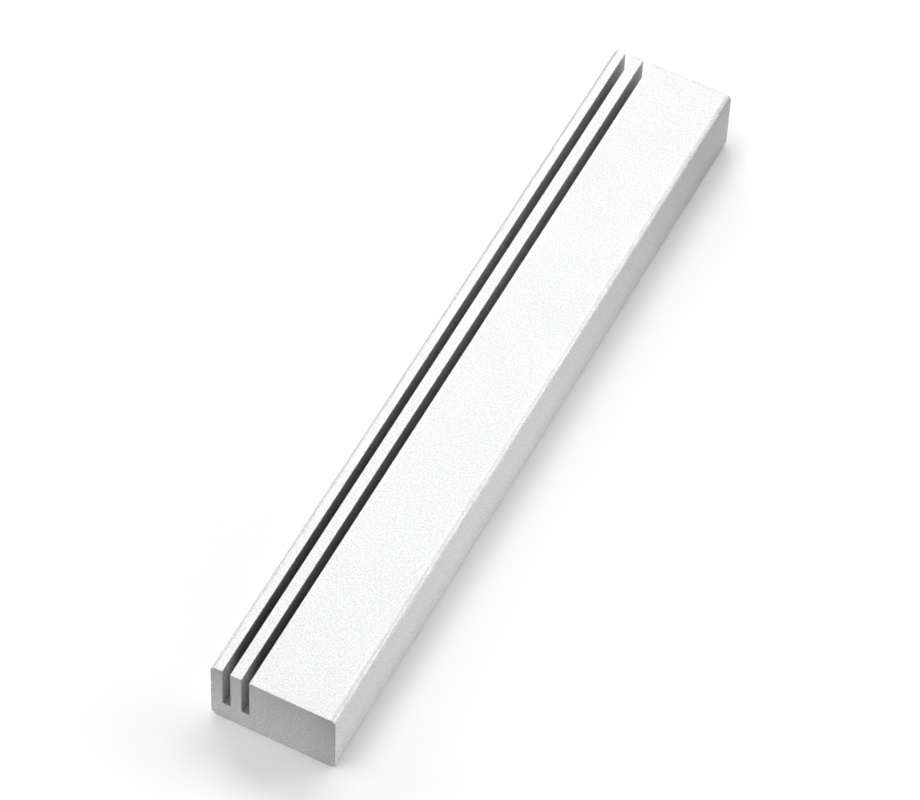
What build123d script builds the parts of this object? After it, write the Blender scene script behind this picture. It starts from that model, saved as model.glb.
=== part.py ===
from build123d import *
import os

# A sanding stick for model making: one bar of aluminium with two narrow slots
# sawn along its whole length. A sheet of abrasive is wrapped round the bar and
# its two edges are tucked into the slots. The bar is a single piece.
#
# Frame: the origin is at the middle of the bottom face, +Y runs along the bar,
# +X runs across it away from the slots, and +Z is up.

# Driving dimensions, in millimetres
BAR_LENGTH = 129.0        # along Y
BAR_WIDTH = 20.0          # along X
BAR_HEIGHT = 12.0         # along Z
LONG_EDGE_RADIUS = 1.0    # the four long outer edges, rounded so that the sheet bends round them
END_EDGE_RADIUS = 0.08    # every edge of the two end faces, only just broken

SLOT_COUNT = 2
SLOT_WIDTH = 1.25         # cut by a thin slitting saw
SLOT_DEPTH = 8.25         # from the top face down
OUTER_WALL = 1.9          # between the bar's side and the first slot
RIB_WIDTH = 1.8           # between one slot and the next
SLOT_LIP_RADIUS = 0.1     # where a slot's wall meets the top face
SLOT_FLOOR_RADIUS = 0.12  # the corner that the saw's worn teeth leave along the floor

# Worked out from the driving dimensions
SIDE_X = BAR_WIDTH / 2                  # distance of each side from the middle
SLOT_FLOOR_Z = BAR_HEIGHT - SLOT_DEPTH
SLOT_PITCH = SLOT_WIDTH + RIB_WIDTH
FIRST_SLOT_X = -SIDE_X + OUTER_WALL + SLOT_WIDTH / 2
SLOT_CENTRES_X = [FIRST_SLOT_X + i * SLOT_PITCH for i in range(SLOT_COUNT)]

SAME_PLACE = 1e-6         # how close two coordinates are when they count as the same


def bar_blank():
    """The bar's outline seen from the end, before it is slotted."""
    outline = Pos(0, BAR_HEIGHT / 2) * Rectangle(BAR_WIDTH, BAR_HEIGHT)
    return fillet(outline.vertices(), LONG_EDGE_RADIUS)


def slot_profile(centre_x):
    """One slot seen from the end, with its floor corners rounded."""
    profile = Pos(centre_x, SLOT_FLOOR_Z + SLOT_DEPTH / 2) * Rectangle(SLOT_WIDTH, SLOT_DEPTH)
    floor_corners = profile.vertices().group_by(Axis.Y)[0]
    return fillet(floor_corners, SLOT_FLOOR_RADIUS)


def is_slot_lip(vertex):
    """Whether a corner of the slotted outline is where a slot meets the top face."""
    at_top = abs(vertex.Y - BAR_HEIGHT) < SAME_PLACE
    beside_slot = any(
        abs(abs(vertex.X - centre_x) - SLOT_WIDTH / 2) < SAME_PLACE for centre_x in SLOT_CENTRES_X
    )
    return at_top and beside_slot


def slotted_outline():
    """The finished cross-section: the bar's outline with both slots cut and their lips eased."""
    outline = bar_blank()
    for centre_x in SLOT_CENTRES_X:
        outline -= slot_profile(centre_x)
    return fillet(outline.vertices().filter_by(is_slot_lip), SLOT_LIP_RADIUS)


def sanding_bar():
    """The bar: the cross-section carried along Y, with every edge of its end faces broken."""
    section = Plane.XZ * slotted_outline()
    bar = extrude(section, amount=BAR_LENGTH / 2, both=True)
    end_faces = bar.faces().filter_by(Axis.Y)
    return fillet(end_faces.edges(), END_EDGE_RADIUS)


os.makedirs("parts", exist_ok=True)
NODES = {"sanding_bar": sanding_bar()}
for name, shape in NODES.items():
    export_step(shape, f"parts/{name}.step")
    size = shape.bounding_box().size
    print(f"{name}: {size.X:.2f} x {size.Y:.2f} x {size.Z:.2f} mm, {shape.volume:.0f} mm3")
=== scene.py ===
import math

import bpy
import numpy as np
from mathutils import Matrix, Vector, noise


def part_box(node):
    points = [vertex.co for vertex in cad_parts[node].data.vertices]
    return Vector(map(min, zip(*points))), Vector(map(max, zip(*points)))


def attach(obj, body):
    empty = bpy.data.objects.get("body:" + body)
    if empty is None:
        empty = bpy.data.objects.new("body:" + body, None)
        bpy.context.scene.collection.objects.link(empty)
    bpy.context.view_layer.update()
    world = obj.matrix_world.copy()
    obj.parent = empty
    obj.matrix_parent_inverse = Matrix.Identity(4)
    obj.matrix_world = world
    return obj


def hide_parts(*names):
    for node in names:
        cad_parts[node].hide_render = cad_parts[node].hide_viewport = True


# A sanding stick: one slotted bar of blasted, clear anodised aluminium, on a pale floor.
# Everything is in metres, in the frame of the CAD model: the origin is at the middle of
# the bottom face, +Y runs along the bar, +X across it away from the slots, +Z up.

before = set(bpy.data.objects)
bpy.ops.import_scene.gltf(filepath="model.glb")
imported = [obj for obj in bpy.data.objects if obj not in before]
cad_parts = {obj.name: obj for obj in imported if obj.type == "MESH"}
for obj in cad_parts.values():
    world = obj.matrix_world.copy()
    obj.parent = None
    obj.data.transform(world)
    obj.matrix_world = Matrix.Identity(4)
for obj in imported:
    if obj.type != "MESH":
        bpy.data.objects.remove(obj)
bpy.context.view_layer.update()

# ------------------------------------------------------------------ sizes

MM = 0.001
NODE = "sanding_bar"
BAR_LOW, BAR_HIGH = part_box(NODE)
CENTRE = (BAR_LOW + BAR_HIGH) / 2
HALF_WIDTH = (BAR_HIGH.x - BAR_LOW.x) / 2

# The bar's own small dimensions, as in the CAD model but with the ends' edges a little sharper
LONG_EDGE_RADIUS = 1.0 * MM
END_EDGE_RADIUS = 0.05 * MM
SLOT_WIDTH = 1.25 * MM
SLOT_DEPTH = 8.25 * MM
OUTER_WALL = 1.9 * MM
RIB_WIDTH = 1.8 * MM
SLOT_LIP_RADIUS = 0.1 * MM
SLOT_FLOOR_RADIUS = 0.12 * MM
SLOT_LEFT_SIDES = [
    BAR_LOW.x + OUTER_WALL,
    BAR_LOW.x + OUTER_WALL + SLOT_WIDTH + RIB_WIDTH,
]
SLOT_FLOOR_Z = BAR_HIGH.z - SLOT_DEPTH
SAW_RADIUS = 32 * MM       # the slitting saw that cut the slots
TOOTH_PITCH = 0.28 * MM    # between one of its marks and the next
BLAST_REACH = 0.9 * MM     # how far down into a slot the blasting got

METAL = (0.628, 0.63, 0.634)
GRAIN = 0.18               # how much the blasted surface's specks lighten and darken it
UPRIGHT_GRAIN_SHADE = 0.35       # how much stronger the specks are on the upright faces: painted shade for the blast's bumps seen at a slant

# Painted light and shade: how much lighter or darker the metal's colour is painted in places, as shares of
# METAL
SIDE_FOOT = 1.25           # the foot of the right-hand side
SIDE_FALL_UP = 0.24        # how much less at its top
SIDE_FALL_ALONG = 0.48     # and how much less at its far end
END_FOOT = 1.15            # the foot of the two end faces, on the left
END_FALL_UP = 0.39         # how much less at their top
END_FALL_ACROSS = 0.06     # and how much less on the right
END_FALL_OUT = 0.17        # how much less in a band along their left and right edges
END_FALL_RIM = 0.12        # and how much less again in the last quarter of a millimetre
SLOT_WALL = 0.84           # the top of the slots' walls, just inside the near mouths
SLOT_FALL_DOWN = 0.14      # how much less 4 mm down
SLOT_FALL_FLOOR = 0.35     # and how much less on the slots' floors
SLOT_RISE_ALONG = 0.33     # how much more past the bar's middle
SLOT_NEAR_RISE = 0.8       # what share is added in the near mouths' walls
SLOT_NEAR_FLOOR = 0.35     # how much of that the floors get
SLOT_FAR_FALL = 0.5        # what share is lost in the far mouths
SLOT_BRIGHTEST = 1.35      # no place in a slot is brighter
UPRIGHT_END_EDGE = 0.55    # painted dark line on the sharp edges round the two ends, where they run up and down
LEVEL_END_EDGE = 0.85      # and where they run along the top and bottom

# How finely the mesh follows the bar's shape
LONG_EDGE_STEPS = 14
LIP_STEPS = 4
FLOOR_CORNER_STEPS = 3
END_EDGE_STEPS = 5
FACE_STEP = 0.6 * MM       # across the faces
STATION_STEP = 0.5 * MM    # along the bar

# Wear and making: all of it goes into the metal, so the bar stays inside its CAD box
FACE_WAVE = 0.004 * MM     # the faces' slight waviness
EDGE_WAVE = 0.015 * MM     # the rounded edges' unevenness
NICK = Vector((BAR_LOW.x, BAR_LOW.y, BAR_LOW.z + 7.7 * MM))
NICK_REACH = 0.32 * MM
NICK_DEPTH = 0.2 * MM
NICK_DIRECTION = Vector((1, 0.35, 0))


# ------------------------------------------------------------------ the bar's section

def section_corners():
    """The cross-section's corners, anticlockwise seen from the near end: x, z and rounding radius.
    The radius is negative at the slots' floors, where the corner is concave."""
    corners = [
        (BAR_LOW.x, BAR_LOW.z, LONG_EDGE_RADIUS),
        (BAR_HIGH.x, BAR_LOW.z, LONG_EDGE_RADIUS),
        (BAR_HIGH.x, BAR_HIGH.z, LONG_EDGE_RADIUS),
    ]
    for left in reversed(SLOT_LEFT_SIDES):
        right = left + SLOT_WIDTH
        corners += [
            (right, BAR_HIGH.z, SLOT_LIP_RADIUS),
            (right, SLOT_FLOOR_Z, -SLOT_FLOOR_RADIUS),
            (left, SLOT_FLOOR_Z, -SLOT_FLOOR_RADIUS),
            (left, BAR_HIGH.z, SLOT_LIP_RADIUS),
        ]
    corners.append((BAR_LOW.x, BAR_HIGH.z, LONG_EDGE_RADIUS))
    return corners


def into_metal(start, end):
    """The direction at right angles to an edge of the outline, towards the metal."""
    along = (end - start) / np.linalg.norm(end - start)
    return np.array([-along[1], along[0]])


def rounded_corner(before, corner, after, radius, inset):
    """One corner's arc as points and as directions into the metal, on the outline shrunk by inset."""
    first, last = into_metal(before, corner), into_metal(corner, after)
    bend = 1 if radius > 0 else -1
    centre = corner + radius * (first + last)
    steps = {LONG_EDGE_RADIUS: LONG_EDGE_STEPS, SLOT_LIP_RADIUS: LIP_STEPS}.get(radius, FLOOR_CORNER_STEPS)
    turns = [i / steps * math.pi / 2 for i in range(steps + 1)]
    inward = [math.cos(t) * first + math.sin(t) * last for t in turns]
    return [centre + (inset - abs(radius) * bend) * way for way in inward], inward


def section_ring(inset=0.0):
    """The cross-section as rows of x, z, the direction into the metal and the share of rounded edge."""
    corners = section_corners()
    places = [np.array(c[:2]) for c in corners]
    count = len(corners)
    arcs = [
        rounded_corner(places[i - 1], places[i], places[(i + 1) % count], corners[i][2], inset)
        for i in range(count)
    ]
    rows = []
    for i, (points, inward) in enumerate(arcs):
        is_edge = 1.0 if corners[i][2] > 0 else 0.0
        rows += [(*p, *way, is_edge) for p, way in zip(points, inward)]
        start, end = points[-1], arcs[(i + 1) % count][0][0]
        on_left_side = i == count - 1
        step = FACE_STEP / 3 if on_left_side else FACE_STEP  # finer there, for the nick
        pieces = max(1, round(np.linalg.norm(end - start) / step))
        rows += [(*(start + (end - start) * k / pieces), *inward[-1], 0.0) for k in range(1, pieces)]
    return rows


def stations():
    """Where the rings lie along the bar, and how far each is inset: end edge, body, end edge."""
    turns = [i / END_EDGE_STEPS * math.pi / 2 for i in range(END_EDGE_STEPS + 1)]
    rounding = [(END_EDGE_RADIUS * (1 - math.cos(t)), END_EDGE_RADIUS * (1 - math.sin(t))) for t in turns]
    rounding.append((1.5 * END_EDGE_RADIUS, 0.0))
    near = [(BAR_LOW.y + along, inset) for along, inset in rounding]
    far = [(BAR_HIGH.y - along, inset) for along, inset in reversed(rounding)]
    start, stop = near[-1][0], far[0][0]
    count = round((stop - start) / STATION_STEP)
    body = [(start + (stop - start) * i / count, 0.0) for i in range(1, count)]
    return near + body + far


# ------------------------------------------------------------------ wear, finish, and painted light and shade

def wave(place, size):
    """Smooth noise from 0 to 1 whose bumps are about size metres across."""
    return min(1.0, max(0.0, 0.5 + 0.5 * noise.noise(place / size)))


def share(value, none, full):
    """How far a value has come from none to full, as a number from 0 to 1."""
    return min(1.0, max(0.0, (value - none) / (full - none)))


def in_a_slot(place):
    """Whether a point is on a slot's wall or floor."""
    slack = 0.01 * MM
    between_walls = any(left - slack < place.x < left + SLOT_WIDTH + slack for left in SLOT_LEFT_SIDES)
    return between_walls and place.z >= SLOT_FLOOR_Z - slack


def floor_share(place, inward_z):
    """How much a point in a slot belongs to the floor: 1 on it, 0 on the walls and lips."""
    return max(0.0, -inward_z) if BAR_HIGH.z - place.z > SLOT_DEPTH / 2 else 0.0


def sawn_share(place):
    """How much a point in a slot shows the saw's finish. The lips and the near mouths were blasted."""
    by_depth = share(BAR_HIGH.z - place.z, 0, BLAST_REACH)
    by_length = 0.3 + share(place.y, BAR_LOW.y, BAR_LOW.y + 3 * MM)
    return min(by_depth, by_length)


def painted_slot_shading(place, inward_z):
    """The painted light and shade in a slot: darker with depth and on the floor, lighter further along the
    bar and in the near mouths, darker in the far mouths. It differs from METAL only from a little below
    the lip.
    """
    depth = BAR_HIGH.z - place.z
    on_floor = floor_share(place, inward_z)
    near_mouth = 1 - share(place.y, BAR_LOW.y + 2 * MM, BAR_LOW.y + 5 * MM)
    far_mouth = share(place.y, BAR_HIGH.y - 4 * MM, BAR_HIGH.y)
    brightness = SLOT_WALL - SLOT_FALL_DOWN * share(depth, 0, 4 * MM) - SLOT_FALL_FLOOR * on_floor
    brightness += SLOT_RISE_ALONG * share(place.y, BAR_LOW.y, CENTRE.y + 20 * MM)
    brightness *= 1 + SLOT_NEAR_RISE * near_mouth * (1 - (1 - SLOT_NEAR_FLOOR) * on_floor)
    brightness *= 1 - SLOT_FAR_FALL * far_mouth
    return 1 + (min(brightness, SLOT_BRIGHTEST) - 1) * share(depth, 0, 0.3 * MM)


def painted_side_shading(place, inward_x):
    """The painted light and shade outside the slots: none, but the right-hand side is painted lighter at
    its foot and darker towards its top and its far end.
    """
    fall = SIDE_FALL_UP * share(place.z, BAR_LOW.z, BAR_HIGH.z)
    fall += SIDE_FALL_ALONG * share(place.y, CENTRE.y - 20 * MM, BAR_HIGH.y) ** 2
    on_right = max(0.0, -inward_x)
    return 1 + on_right * (SIDE_FOOT - fall - 1)


def painted_end_shading(place):
    """The painted light and shade on the flat faces at the two ends: lighter at the foot, darker towards
    the top and the right.
    """
    fall = END_FALL_UP * share(place.z, BAR_LOW.z, BAR_HIGH.z)
    fall += END_FALL_ACROSS * share(place.x, BAR_LOW.x, BAR_HIGH.x)
    return END_FOOT - fall


def hollow_at(place, is_edge):
    """How far a point lies below the plain shape: waviness, and unevenness of the rounded edges."""
    return FACE_WAVE * wave(place, 4 * MM) + EDGE_WAVE * is_edge * wave(place, 0.8 * MM) ** 2


# ------------------------------------------------------------------ the bar's mesh

def bar_points():
    """The bar's points ring by ring, and for each the values that its material reads:
    the share of rounded edge, the share of saw's finish, and the painted light and shade."""
    points, rounded_edge, sawn, brightness = [], [], [], []
    for y, inset in stations():
        at_end = min(y - BAR_LOW.y, BAR_HIGH.y - y) < 1.01 * END_EDGE_RADIUS
        for x, z, inward_x, inward_z, is_edge in section_ring(inset):
            place = Vector((x, y, z))
            is_edge = max(is_edge, float(at_end))
            near_nick = max(0.0, 1 - (place - NICK).length / NICK_REACH)
            moved = place + Vector((inward_x, 0, inward_z)) * hollow_at(place, is_edge)
            points.append(moved + NICK_DIRECTION * NICK_DEPTH * near_nick)
            in_slot = in_a_slot(place)
            # Painted light and shade: darker down in the slots, lighter in their near mouths; on the
            # right-hand side lighter at the foot, darker up and along.
            shade = painted_slot_shading(place, inward_z) if in_slot else painted_side_shading(place, inward_x)
            # Painted shade: a darker line along the sharp edges round the two ends, darkest where they run
            # up and down.
            if at_end:
                shade *= LEVEL_END_EDGE + (UPRIGHT_END_EDGE - LEVEL_END_EDGE) * abs(inward_x)
            rounded_edge.append(is_edge)
            sawn.append(sawn_share(place) if in_slot else 0.0)
            brightness.append(shade)
    return points, rounded_edge, sawn, brightness


def bar_mesh():
    """The bar as one closed mesh: rings of quads along Y, and a flat face at each end."""
    points, rounded_edge, sawn, brightness = bar_points()
    size = len(section_ring())
    rings = len(points) // size
    faces = []
    for start in range(0, (rings - 1) * size, size):
        for i in range(size):
            a, b = start + i, start + (i + 1) % size
            faces.append((a, b, b + size, a + size))
    quads = len(faces)
    faces.append(tuple(reversed(range(size))))
    faces.append(tuple(range((rings - 1) * size, rings * size)))
    mesh = bpy.data.meshes.new("sanding_bar_skin")
    mesh.from_pydata(points, [], faces)
    for face in mesh.polygons:
        face.use_smooth = face.index < quads
    nowhere = [0.0] * len(points)
    corner_points = [loop.vertex_index for loop in mesh.loops]
    # The painted light and shade is set per corner, so the flat end faces get their own.
    for name, along_bar, on_ends in (
        ("rounded_edge", rounded_edge, nowhere),
        ("sawn", sawn, nowhere),
        ("painted_shading", brightness, [painted_end_shading(place) for place in points]),
    ):
        in_corners = [(along_bar if c < quads * 4 else on_ends)[v] for c, v in enumerate(corner_points)]
        mesh.attributes.new(name, "FLOAT", "CORNER").data.foreach_set("value", in_corners)
    return mesh


def make_bar():
    mesh = bar_mesh()
    piece = bpy.data.objects.new("sanding_bar_skin", mesh)
    bpy.context.scene.collection.objects.link(piece)
    mesh.materials.append(blasted_aluminium())
    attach(piece, "root")
    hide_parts(NODE)


# ------------------------------------------------------------------ materials

class Graph:
    """A short way to write a material's nodes."""

    def __init__(self, name):
        self.material = bpy.data.materials.new(name)
        self.material.use_nodes = True
        self.nodes = self.material.node_tree.nodes
        self.links = self.material.node_tree.links
        self.nodes.clear()
        self.surface = self.add("ShaderNodeBsdfPrincipled")
        output = self.add("ShaderNodeOutputMaterial")
        self.links.new(self.surface.outputs[0], output.inputs["Surface"])
        coordinates = self.add("ShaderNodeTexCoord")
        self.place = coordinates.outputs["Object"]
        self.axes = self.add("ShaderNodeSeparateXYZ", {0: self.place})
        self.facing = self.add("ShaderNodeSeparateXYZ", {0: coordinates.outputs["Normal"]})

    def add(self, kind, inputs=None, **settings):
        """A node with its settings and inputs. An input is a value or another node's output."""
        node = self.nodes.new(kind)
        for key, value in settings.items():
            setattr(node, key, value)
        for key, value in (inputs or {}).items():
            if isinstance(value, bpy.types.NodeSocket):
                self.links.new(value, node.inputs[key])
            else:
                node.inputs[key].default_value = value
        return node

    def math(self, operation, a, b=0.0):
        return self.add("ShaderNodeMath", {0: a, 1: b}, operation=operation).outputs[0]

    def total(self, *values):
        """The sum of some values."""
        result = values[0]
        for value in values[1:]:
            result = self.math("ADD", result, value)
        return result

    def product(self, *values):
        result = values[0]
        for value in values[1:]:
            result = self.math("MULTIPLY", result, value)
        return result

    def blend(self, share, at_none, at_full):
        """From one value to the other as the share goes from 0 to 1."""
        inputs = {"Factor": share, "A": at_none, "B": at_full}
        return self.add("ShaderNodeMix", inputs, data_type="FLOAT").outputs["Result"]

    def remap(self, value, low, high, at_low=0.0, at_high=1.0):
        """A value that goes from at_low to at_high as the first one goes from low to high."""
        inputs = {"Value": value, "From Min": low, "From Max": high, "To Min": at_low, "To Max": at_high}
        return self.add("ShaderNodeMapRange", inputs).outputs["Result"]

    def noise(self, size, detail=2.0, roughness=0.5):
        """Noise from 0 to 1 whose blobs are about size metres across."""
        inputs = {"Vector": self.place, "Scale": 1 / size, "Detail": detail, "Roughness": roughness}
        return self.add("ShaderNodeTexNoise", inputs).outputs["Fac"]

    def dimples(self, size):
        """Small round hollows: 0 at the middle of each, up to about 0.7 between them."""
        inputs = {"Vector": self.place, "Scale": 1 / size, "Smoothness": 0.35}
        return self.add("ShaderNodeTexVoronoi", inputs, feature="SMOOTH_F1").outputs["Distance"]

    def attribute(self, name):
        return self.add("ShaderNodeAttribute", attribute_name=name).outputs["Fac"]

    def shade(self, colour, brightness):
        """A colour made lighter or darker."""
        inputs = {0: colour, "Scale": brightness}
        return self.add("ShaderNodeVectorMath", inputs, operation="SCALE").outputs[0]

    def bump(self, height, distance, normal=None):
        inputs = {"Height": height, "Distance": distance}
        if normal is not None:
            inputs["Normal"] = normal
        return self.add("ShaderNodeBump", inputs).outputs["Normal"]

    def set(self, **values):
        """Values or outputs for the surface shader's inputs, by name with _ for each space."""
        for key, value in values.items():
            socket = self.surface.inputs[key.replace("_", " ")]
            if isinstance(value, bpy.types.NodeSocket):
                self.links.new(value, socket)
            else:
                socket.default_value = value


def saw_marks(g):
    """The lines that a slitting saw's teeth leave: curved on a slot's walls, straight on its floor."""
    below_centre = g.math("SUBTRACT", SLOT_FLOOR_Z + SAW_RADIUS, g.axes.outputs["Z"])
    squares = g.math("SUBTRACT", SAW_RADIUS**2, g.math("POWER", below_centre, 2.0))
    arc = g.math("SQRT", g.math("MAXIMUM", squares, 0.0))
    along = g.math("SUBTRACT", g.axes.outputs["Y"], arc)
    drift = g.product(g.noise(1.6 * MM, detail=1.0), 0.5 * MM)
    turns = g.product(g.math("ADD", along, drift), 2 * math.pi / TOOTH_PITCH)
    lines = g.math("SINE", turns)
    return g.product(lines, g.remap(g.noise(0.7 * MM), 0.35, 0.65))


def blasted_aluminium():
    """Aluminium blasted with fine beads and clear anodised; bare of blasting deep in the slots.
    Its colour also carries painted light and shade.
    """
    g = Graph("blasted_aluminium_skin")
    fine = g.noise(0.25 * MM, detail=2.5, roughness=0.55)
    hollows = g.dimples(0.3 * MM)
    patches = g.noise(0.8 * MM, detail=3.0)
    clouds = g.noise(11 * MM, detail=3.0)
    sawn = g.attribute("sawn")
    worn = g.product(g.attribute("rounded_edge"), g.remap(g.noise(2.2 * MM, detail=4.0), 0.38, 0.6))
    marks = saw_marks(g)
    upright = g.math("SUBTRACT", 1.0, g.math("ABSOLUTE", g.facing.outputs["Z"]))
    on_ends = g.remap(g.math("ABSOLUTE", g.facing.outputs["Y"]), 0.9, 1.0)
    # Painted shade: the end faces darker in a band along their left and right edges, more in the last
    # quarter millimetre.
    off_centre = g.math("ABSOLUTE", g.math("SUBTRACT", g.axes.outputs["X"], CENTRE.x))
    band = g.remap(off_centre, HALF_WIDTH - 5 * MM, HALF_WIDTH - 0.5 * MM, 0.0, END_FALL_OUT)
    rim = g.remap(off_centre, HALF_WIDTH - 0.25 * MM, HALF_WIDTH, 0.0, END_FALL_RIM)

    grain = g.remap(fine, 0.3, 0.7, GRAIN, -GRAIN)
    # Painted shade: the specks are made stronger on the upright faces, as the blast's bumps would shade
    # them at a slant.
    grain = g.product(grain, g.math("ADD", 1.0, g.product(upright, UPRIGHT_GRAIN_SHADE)))
    brightness = g.total(
        g.remap(patches, 0.3, 0.7, 0.97, 1.03),
        g.remap(clouds, 0.3, 0.7, -0.01, 0.01),
        g.product(grain, g.blend(sawn, 1.0, 0.8)),
        g.product(worn, 0.015),
        g.product(sawn, g.product(marks, 0.08)),
        # Painted shade along the end faces' left and right edges.
        g.product(on_ends, g.total(band, rim), -1.0),
    )
    roughness = g.total(
        g.blend(sawn, 0.5, 0.6),
        g.remap(patches, 0.3, 0.7, -0.02, 0.02),
        g.remap(clouds, 0.3, 0.7, -0.02, 0.02),
        g.product(worn, -0.04),
    )
    blast = g.total(fine, g.product(hollows, 0.9), g.product(patches, 0.5))
    blasted = g.bump(g.product(blast, g.blend(sawn, 1.0, 0.3)), 0.028 * MM)
    g.set(
        # The base colour carries the painted light and shade set on the mesh.
        Base_Color=g.shade(METAL, g.product(brightness, g.attribute("painted_shading"))),
        Metallic=1.0,
        Roughness=roughness,
        Normal=g.bump(g.product(marks, sawn), 0.006 * MM, blasted),
    )
    return g.material


def floor_paint():
    """Matt white paint, very slightly uneven."""
    g = Graph("floor_paint")
    unevenness = g.remap(g.noise(40 * MM, detail=3.0), 0.3, 0.7, 0.998, 1.002)
    g.set(
        Base_Color=g.shade((0.95, 0.95, 0.95), unevenness),
        Roughness=g.remap(g.noise(6 * MM), 0.3, 0.7, 0.85, 0.95),
        Specular_IOR_Level=0.1,
        Normal=g.bump(g.noise(1.5 * MM, detail=3.0), 0.004 * MM),
    )
    return g.material


# ------------------------------------------------------------------ floor, lights and camera

FLOOR_RADIUS = 0.2
FLOOR_GAP = 0.02 * MM      # keeps the floor from lying in the bar's own bottom face

CAMERA_AZIMUTH = 25.171    # degrees; 0 looks along +Y
CAMERA_ELEVATION = 54.066
CAMERA_ROLL = 2.631
CAMERA_DISTANCE = 0.74506
CAMERA_LENS = 196.645      # millimetres on a 36 mm wide sensor
CAMERA_AIM = Vector((-2.338 * MM, -2.175 * MM, 5.294 * MM))


def direction(azimuth, elevation):
    """The unit vector towards something at that azimuth and elevation, in degrees."""
    a, e = math.radians(azimuth), math.radians(elevation)
    return Vector((math.sin(a) * math.cos(e), -math.cos(a) * math.cos(e), math.sin(e)))


def make_floor():
    """A round white table top."""
    steps = 96
    rim = [(math.cos(i / steps * 2 * math.pi), math.sin(i / steps * 2 * math.pi)) for i in range(steps)]
    mesh = bpy.data.meshes.new("floor")
    z = BAR_LOW.z - FLOOR_GAP
    mesh.from_pydata([(x * FLOOR_RADIUS, y * FLOOR_RADIUS, z) for x, y in rim], [], [tuple(range(steps))])
    floor = bpy.data.objects.new("floor", mesh)
    bpy.context.scene.collection.objects.link(floor)
    mesh.materials.append(floor_paint())


def make_softbox(name, azimuth, elevation, distance, wide, tall, brightness, aim_y):
    """A plain rectangular light that faces the middle of the bar, or the point at aim_y along it.
    At a brightness of 1, its face would just show as white."""
    data = bpy.data.lights.new(name, "AREA")
    data.shape = "RECTANGLE"
    data.size = wide
    data.size_y = tall
    data.energy = brightness * math.pi * wide * tall
    light = bpy.data.objects.new(name, data)
    back = direction(azimuth, elevation)
    light.location = Vector((CENTRE.x, CENTRE.y + aim_y, CENTRE.z)) + back * distance
    light.rotation_mode = "QUATERNION"
    light.rotation_quaternion = back.to_track_quat("Z", "Y")
    light.visible_camera = False
    bpy.context.scene.collection.objects.link(light)


# Each softbox: azimuth, elevation, distance, width, height, brightness, and where along the bar it aims
SOFTBOXES = {
    "overhead": (305, 74, 0.9, 0.45, 0.45, 4.15, 0.0),
    "back_high": (185, 56, 0.9, 0.5, 0.36, 3.53, 0.0),
    "back_left": (225, 36, 0.9, 0.5, 0.36, 3.44, 0.0),
    "low_left": (258, 17, 0.9, 0.7, 0.36, 1.96, 0.0),
    "left_side": (275, 25, 0.9, 0.5, 0.3, 1.95, 0.0),
    "low_back": (180, 17, 0.9, 0.36, 0.36, 1.74, 0.0),
    "right_back": (140, 42, 0.9, 0.6, 0.4, 1.95, 0.0),
    "right_back_low": (140, 20, 0.9, 0.6, 0.3, 1.21, 0.0),
    "right_low": (120, 20, 0.9, 0.6, 0.3, 3.05, 0.0),
    "side_panel": (90, 14, 0.13, 0.1, 0.05, 0.62, -55 * MM),
    "front_high": (330, 60, 0.9, 0.45, 0.45, 2.25, 0.0),
    "front_right": (45, 18, 0.9, 0.7, 0.32, 1.8, 0.0),
}


def make_world():
    """White where the camera looks past the table. It gives no light: the softboxes do."""
    world = bpy.data.worlds.new("studio")
    bpy.context.scene.world = world
    world.use_nodes = True
    nodes = world.node_tree.nodes
    background = nodes["Background"]
    background.inputs["Color"].default_value = (1, 1, 1, 1)
    seen_directly = nodes.new("ShaderNodeLightPath").outputs["Is Camera Ray"]
    world.node_tree.links.new(seen_directly, background.inputs["Strength"])


def make_camera():
    data = bpy.data.cameras.new("camera")
    data.sensor_width = 36
    data.lens = CAMERA_LENS
    data.clip_start = 0.01
    data.clip_end = 20
    camera = bpy.data.objects.new("camera", data)
    back = direction(CAMERA_AZIMUTH, CAMERA_ELEVATION)
    level_right = direction(CAMERA_AZIMUTH + 90, 0)
    level_up = back.cross(level_right)
    roll = math.radians(CAMERA_ROLL)
    right = level_right * math.cos(roll) + level_up * math.sin(roll)
    up = back.cross(right)
    turn = Matrix((right, up, back)).transposed()
    camera.matrix_world = Matrix.Translation(CAMERA_AIM + back * CAMERA_DISTANCE) @ turn.to_4x4()
    bpy.context.scene.collection.objects.link(camera)
    bpy.context.scene.camera = camera


# ------------------------------------------------------------------ the scene

make_bar()
make_floor()
make_world()
for name, settings in SOFTBOXES.items():
    make_softbox(name, *settings)
make_camera()
bpy.context.scene.view_settings.view_transform = "Standard"
